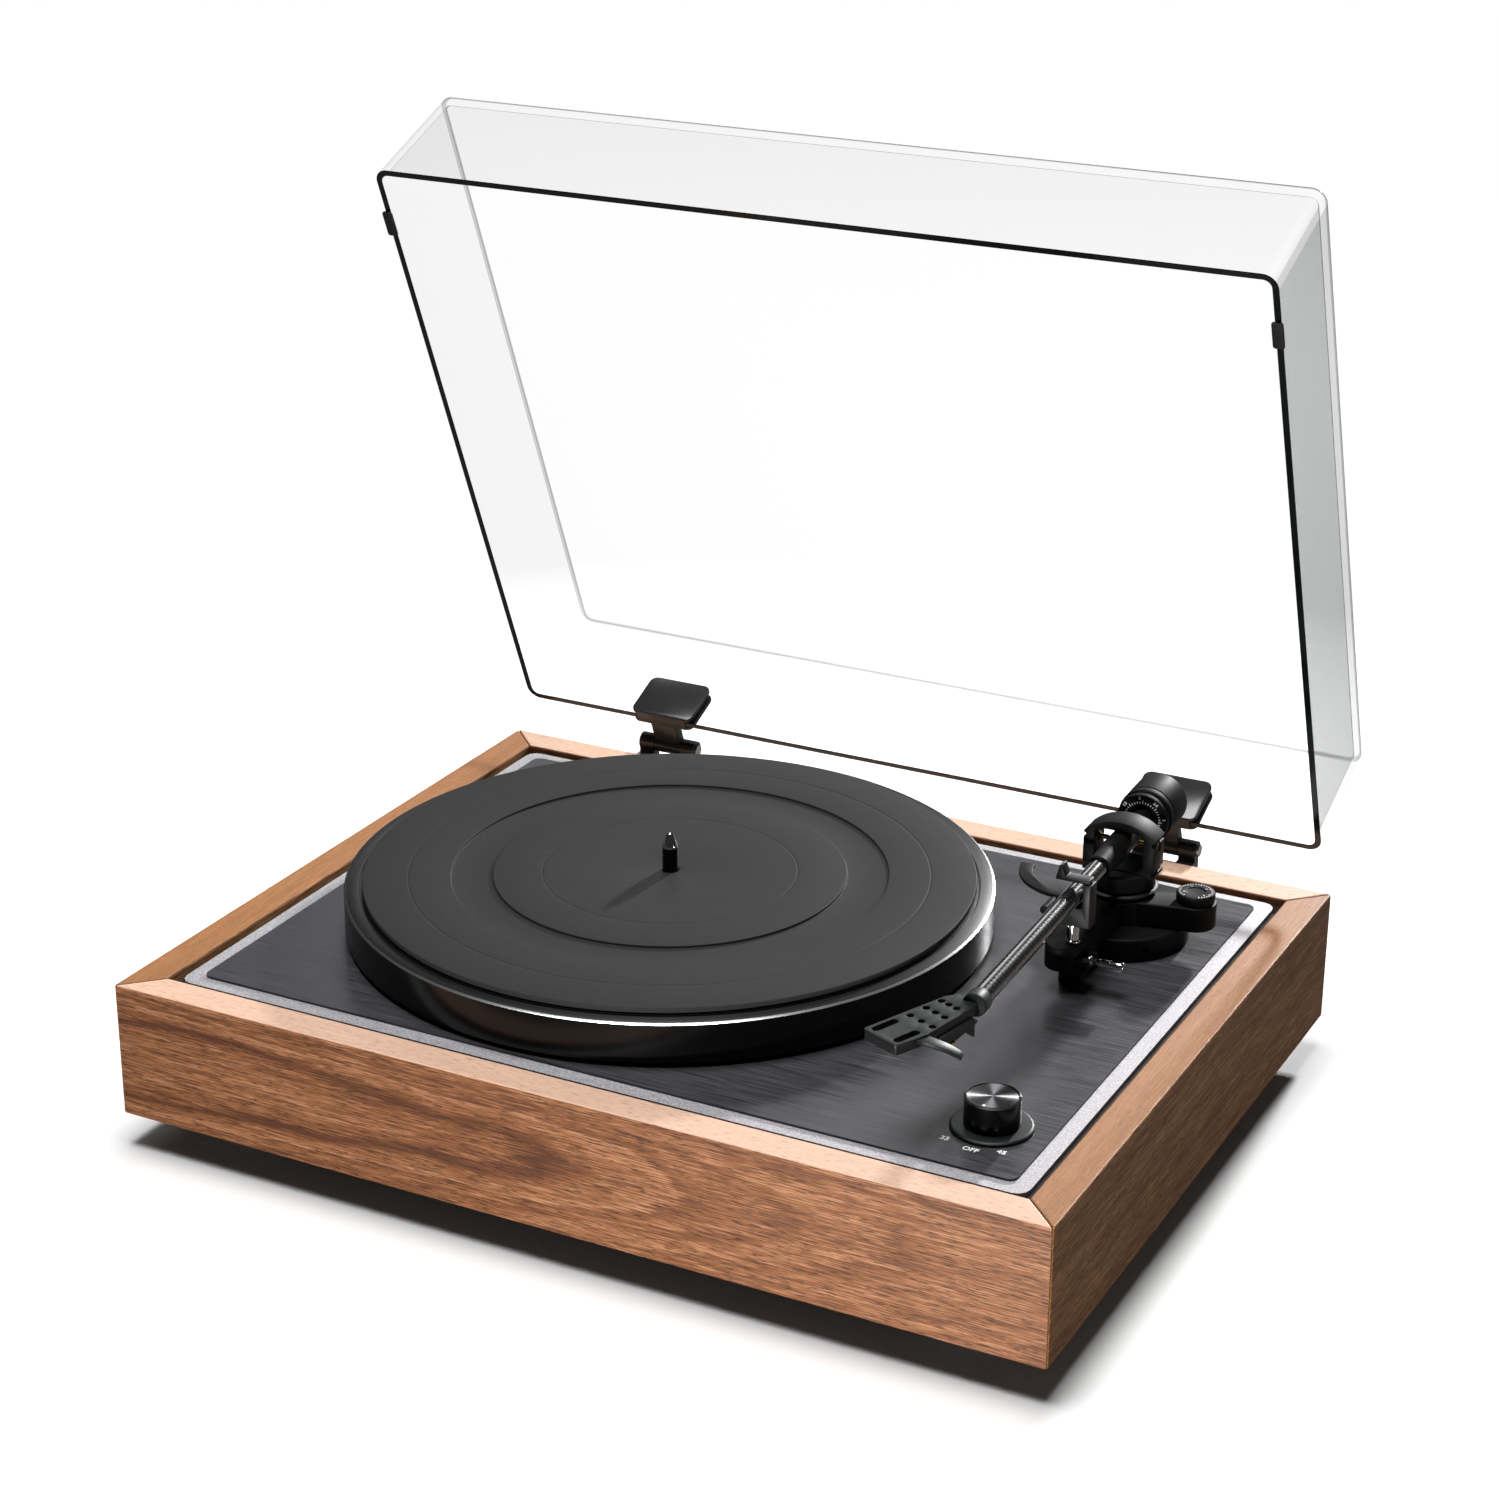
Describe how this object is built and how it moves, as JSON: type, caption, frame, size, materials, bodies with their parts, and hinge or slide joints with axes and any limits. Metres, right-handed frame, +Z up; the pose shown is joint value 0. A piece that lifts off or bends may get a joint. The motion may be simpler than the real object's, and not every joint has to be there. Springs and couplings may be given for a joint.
{
  "type": "turntable record player",
  "caption": "Belt-drive record player: walnut plinth, round platter with rubber mat, straight carbon tonearm, speed knob and a hinged clear dust cover.",
  "frame": {"origin": "on the floor plane under the middle of the whole object's box, cover open", "axes": "+X to the user's right, +Y to the rear, +Z up"},
  "size_m": [0.448, 0.4044, 0.427],
  "materials": {
    "walnut_board": "satin",
    "deck_fibreboard": "matte",
    "border_metal": "satin",
    "brushed_black": "brushed",
    "satin_black": "satin",
    "spun_black": "spun",
    "black_plastic": "matte",
    "black_rubber": "matte",
    "mat_rubber": "matte",
    "circuit_board": "satin",
    "chrome": "polished",
    "brass": "satin",
    "steel": "satin",
    "platter_aluminium": "diamond cut edge, black sides",
    "carbon_weave": "gloss",
    "clear_acrylic": "clear",
    "lead_green": "satin",
    "lead_white": "satin",
    "lead_red": "satin",
    "lead_blue": "satin"
  },
  "bodies": {
    "plinth": {"plinth_front": "walnut_board", "plinth_back": "walnut_board", "plinth_left": "walnut_board", "plinth_right": "walnut_board", "deck_board": "deck_fibreboard", "border_plate": "border_metal", "deck_panel": "brushed_black", "base_cover": "black_plastic", "foot_front_left": "black_rubber", "foot_front_right": "black_rubber", "foot_back_left": "black_rubber", "foot_back_right": "black_rubber", "circuit_board": "circuit_board", "terminal_panel": "black_plastic", "signal_jack_left": "chrome", "signal_jack_right": "chrome", "ground_post": "brass", "power_inlet": "black_plastic", "bearing_housing": "brass", "drive_belt": "black_rubber", "motor": "steel", "motor_plate": "steel", "speed_switch": "black_plastic", "knob_flange": "satin_black", "arm_base": "satin_black", "arm_bearing_ring": "satin_black", "lift_stop_pin": "chrome", "cue_cylinder": "satin_black", "rest_post": "chrome", "rest_block": "black_plastic", "hinge_bracket_left": "steel", "hinge_bracket_right": "steel", "hinge_pin_left": "chrome", "hinge_pin_right": "chrome"},
    "platter": {"platter": "platter_aluminium", "platter_mat": "mat_rubber", "spindle": "chrome"},
    "pulley": {"motor_pulley": "brass"},
    "speed_knob": {"speed_knob": "spun_black"},
    "cover": {"dust_cover": "clear_acrylic", "hinge_leaf_left": "satin_black", "hinge_leaf_right": "satin_black", "bumper_left": "black_rubber", "bumper_right": "black_rubber"},
    "yoke": {"arm_yoke": "satin_black", "pivot_screw_left": "brass", "pivot_screw_right": "brass"},
    "arm": {"arm_collar": "satin_black", "arm_tube": "carbon_weave", "headshell": "satin_black", "lead_green": "lead_green", "lead_white": "lead_white", "lead_red": "lead_red", "lead_blue": "lead_blue"},
    "dial": {"weight_dial": "satin_black"},
    "weight": {"counterweight": "satin_black"},
    "anti_skate_knob": {"anti_skate_knob": "satin_black"},
    "cue_lever": {"cue_lever": "chrome"},
    "cue_bar": {"cue_bar": "satin_black"},
    "rest_latch": {"rest_latch": "black_plastic"}
  },
  "joints": [
    {"name": "lid_hinge", "type": "hinge", "parent": "plinth", "child": "cover", "pos_m": [0, 0.15254, 0.084], "axis": [1, 0, 0], "range_deg": [0, 67.4]},
    {"name": "platter_spin", "type": "hinge", "parent": "plinth", "child": "platter", "pos_m": [-0.041, -0.02326, 0.08], "axis": [0, 0, 1], "continuous": true},
    {"name": "pulley_spin", "type": "hinge", "parent": "plinth", "child": "pulley", "pos_m": [-0.11454, -0.0968, 0.08], "axis": [0, 0, 1], "continuous": true},
    {"name": "speed_turn", "type": "hinge", "parent": "plinth", "child": "speed_knob", "pos_m": [0.171, -0.13866, 0.08], "axis": [0, 0, 1], "range_deg": [-32, 32]},
    {"name": "arm_yaw", "type": "hinge", "parent": "plinth", "child": "yoke", "pos_m": [0.15, 0.05734, 0.126], "axis": [0, 0, -1], "range_deg": [0, 50]},
    {"name": "arm_pitch", "type": "hinge", "parent": "yoke", "child": "arm", "pos_m": [0.15, 0.05734, 0.126], "axis": [-0.9996, -0.0279, 0], "range_deg": [0, 1.8]},
    {"name": "weight_slide", "type": "slide", "parent": "arm", "child": "dial", "axis": [-0.0279, 0.9995, 0.0112], "range_m": [-0.003, 0.002]},
    {"name": "weight_turn", "type": "hinge", "parent": "dial", "child": "weight", "pos_m": [0.15, 0.05734, 0.126], "axis": [-0.0279, 0.9995, 0.0112], "range_deg": [-540, 360]},
    {"name": "anti_skate_turn", "type": "hinge", "parent": "plinth", "child": "anti_skate_knob", "pos_m": [0.185, 0.05964, 0.1024], "axis": [0, 0, 1], "range_deg": [-150, 150]},
    {"name": "cue_lever_turn", "type": "hinge", "parent": "plinth", "child": "cue_lever", "pos_m": [0.159, -0.00406, 0.0935], "axis": [0, -1, 0], "range_deg": [0, 60]},
    {"name": "cue_lift", "type": "slide", "parent": "plinth", "child": "cue_bar", "axis": [0, 0, 1], "range_m": [0, 0.0015]},
    {"name": "rest_latch_turn", "type": "hinge", "parent": "plinth", "child": "rest_latch", "pos_m": [0.1586, -0.00616, 0.133], "axis": [0, -1, 0], "range_deg": [-100, 0]}
  ],
  "couplings": [
    {"joint": "pulley_spin", "follows": "platter_spin", "ratio": 12.045},
    {"joint": "weight_turn", "follows": "weight_slide", "rad_per_m": 3141.6},
    {"joint": "cue_lever_turn", "follows": "cue_lift", "rad_per_m": 698.13},
    {"joint": "arm_pitch", "follows": "cue_lift", "rad_per_m": 20.661}
  ]
}
